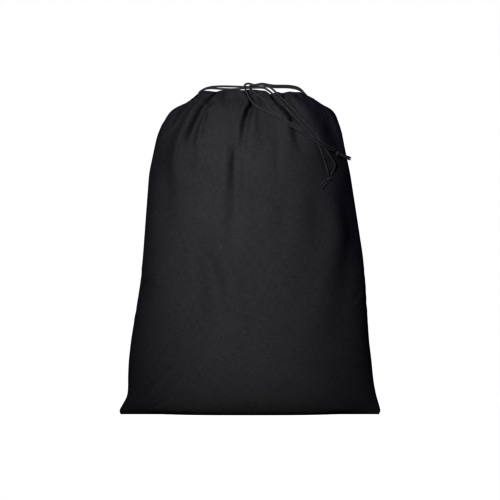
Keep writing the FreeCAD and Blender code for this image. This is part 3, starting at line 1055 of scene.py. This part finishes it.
def make_knot(name, centre, towards, material):
    """A small tight knot: a trefoil of cord, drawn together along one direction."""
    turn = np.linspace(0, 2 * math.pi, 120)
    ring = 0.62 + 0.34 * np.cos(3 * turn)
    shape = np.column_stack([0.62 * np.sin(3 * turn), ring * np.cos(2 * turn), ring * np.sin(2 * turn)])
    spin = Vector(towards).normalized().to_track_quat("X", "Z").to_matrix()
    line = KNOT_SIZE * shape @ np.array(spin).T + np.array(centre)
    return make_piece(name, *braided_tube(line, KNOT_RADIUS, 12, 0.05, 0.01), material)


def make_cords(cord_material):
    """Each half of a cord is one strand, from its slit through the bow to the knot at its end."""
    strands = {}
    lines = {}
    for name in STRETCHES:
        lines[name] = spline_points(STRETCHES[name] + BOW[name] + HANGING_ENDS[name], 0.7 * MM)
        strands[name] = make_piece(f"{name}_strand", *braided_tube(lines[name], CORD / 2), cord_material)
    return strands, lines


FRAY_FIBRES = 9
FRAY_TURN = 2.4  # from one fibre to the next, round the cord's end


def make_tail(name, route, cord_material):
    """A cord's cut end beyond the knot, with loose fibres."""
    line = spline_points(route, 0.6 * MM)
    parts = [braided_tube(line, CORD / 2)]
    ahead = line[-1] - line[-4]
    ahead /= np.linalg.norm(ahead)
    across, up = frames_along(line)
    for number in range(FRAY_FIBRES):
        angle = FRAY_TURN * number
        sideways = (across[-1] * math.cos(angle) + up[-1] * math.sin(angle)) * MM
        start = line[-2] + sideways * 0.8 * (0.3 + 0.08 * number)
        spread = sideways * (0.5 + 0.12 * number)
        middle = start + ahead * 1.2 * MM + spread * 0.4
        end = start + ahead * (2.0 + 0.15 * number) * MM + spread
        parts.append(plain_tube(np.array([start, middle, end]), 0.22 * MM, 5))
    return join_parts(f"{name}_piece", parts, cord_material)


# ---- putting the bag together


def place_cloth(cord_lines):
    """The two panels' grids with their folds, settled by simulation, and their flat cuts."""
    grids, cuts = {}, {}
    turn = column_turns(COLUMNS + 1)[None, :]
    for face in (FRONT, BACK):
        grid = panel_grid(face)
        cuts[face] = cut_cloth(grid)
        relief = cloth_relief(face, grid[:, :, 0], grid[:, :, 2], np.broadcast_to(turn, grid.shape[:2]))
        relief *= seam_fade(turn)
        grids[face] = grid + grid_normals(grid) * (relief * -face)[:, :, None]
    points, faces, front_index, back_index = closed_cloth(grids[FRONT], grids[BACK])
    flat = np.zeros_like(points)
    for face, index in ((BACK, back_index), (FRONT, front_index)):
        flat[index.ravel(), 0] = cuts[face][:, :, 0].ravel()
        flat[index.ravel(), 1] = cuts[face][:, :, 1].ravel()
    held = np.zeros(len(points))
    for index in (front_index, back_index):
        held[index[-1]] = 1
        held[index[-2]] = 0.6
        held[index[0]] = 0.9
        for row in range(1, BOTTOM_ROWS_HELD):
            held[index[row]] = 0.45 * (1 - row / BOTTOM_ROWS_HELD)
    settled = simulate(points, faces, flat, held)
    grids = {FRONT: settled[front_index], BACK: settled[back_index]}
    fit_outline(grids)
    for face, grid in grids.items():
        grids[face] = grid + grid_normals(grid) * (soft_relief(face, grid, turn) * -face)[:, :, None]
    grids[FRONT] = follow_cords(grids[FRONT], cord_lines)
    lift_to_floor(grids)
    return grids, cuts


def register(piece, slot, *nodes):
    """Puts a piece on the root body and hides the CAD nodes that it stands for. The slot is not used."""
    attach(piece, "root")
    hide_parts(*nodes)


def make_panels(grids, cuts, lines, cotton, thread):
    """Both panels with their channels and stitches. Gives the channels."""
    channels = {}
    for face, side in ((FRONT, "front"), (BACK, "back")):
        grid = grids[face] + grid_normals(grids[face]) * (seam_relief(cuts[face]) * -face)[:, :, None]
        grid[:, 0] = grids[FRONT][:, 0]
        grid[:, -1] = grids[FRONT][:, -1]
        panel = cloth_from_grid(f"{side}_panel_cloth", grid, cuts[face], cotton, face == FRONT)
        crease_piece(panel, face)
        if face == FRONT:
            clear_cords(panel, [line[::2] for line in lines.values()])
        thicken(panel)
        channels[face] = Channel(face, grid[-1])
        channel = make_channel(channels[face], f"{side}_channel_cloth", cotton)
        stitches = make_stitches(channels[face], f"{side}_channel_thread", thread)
        register(panel, "cotton", f"{side}_panel")
        register(channel, "cotton", f"{side}_channel")
        register(stitches, "thread", f"{side}_channel_stitches")
    return channels


def make_seams(grid, cotton, thread):
    """The seam allowances and their overlock."""
    for which in ("left", "right", "bottom"):
        strip, overlock = make_allowance(which, grid, cotton, thread)
        register(strip, "cotton", f"{which}_seam_allowance")
        register(overlock, "thread", f"{which}_seam_overlock")


def make_exits(grid, channels, cord_yarn, thread):
    """The part of each cord inside the channels, and the bar tack under the slit where it comes out."""
    for side, column in (("left", 0), ("right", -1)):
        register(make_ring_cord(side, channels, cord_yarn), "cord", f"{side}_cord_in_channel")
        register(make_bartack(side, grid[-1, column], thread), "thread", f"{side}_slit_bartack")


# The hanging end of each strand, and the strand's length from its slit to its knot.
STRANDS = {
    "right_cord_back": ("right_cord_lower_end", 0.385),
    "right_cord_front": ("right_cord_upper_end", 0.357),
    "left_cord_back": ("left_cord_upper_end", 0.372),
    "left_cord_front": ("left_cord_lower_end", 0.355),
}


def finish_cords(strands, lines, cord_yarn):
    """The cords' end knots and tails, and hiding the CAD nodes that each strand stands for."""
    pieces_on = {name: [] for name in strands}
    for side, centre in END_KNOTS.items():
        first, second = lines[f"{side}_cord_back"], lines[f"{side}_cord_front"]
        towards = (first[-1] - first[-8]) + (second[-1] - second[-8])
        knot = make_knot(f"{side}_cord_knot", centre, towards, cord_yarn)
        register(knot, "cord", f"{side}_cord_end_knot")
        pieces_on[f"{side}_cord_back"].append(knot)
    for name, route in TAILS.items():
        tail = make_tail(name, route, cord_yarn)
        register(tail, "cord", name)
        carrier = next(strand for strand, row in STRANDS.items() if row[0] == name.replace("_tail", "_end"))
        pieces_on[carrier].append(tail)
    for name, strand in strands.items():
        end, length = STRANDS[name]
        register(strand, "cord", f"{name}_stretch", end, "bow_knot")


def main():
    make_camera()
    make_light()
    make_floor()
    cotton = cotton_material()
    cord_yarn = yarn_material("black_cord", (0.030, 0.030, 0.034), 0.04)
    thread = yarn_material("black_thread", (0.014, 0.014, 0.016), 0.02)
    strands, lines = make_cords(cord_yarn)
    grids, cuts = place_cloth([line[::4] for line in lines.values()])
    channels = make_panels(grids, cuts, lines, cotton, thread)
    make_seams(grids[FRONT], cotton, thread)
    make_exits(grids[FRONT], channels, cord_yarn, thread)
    finish_cords(strands, lines, cord_yarn)


main()
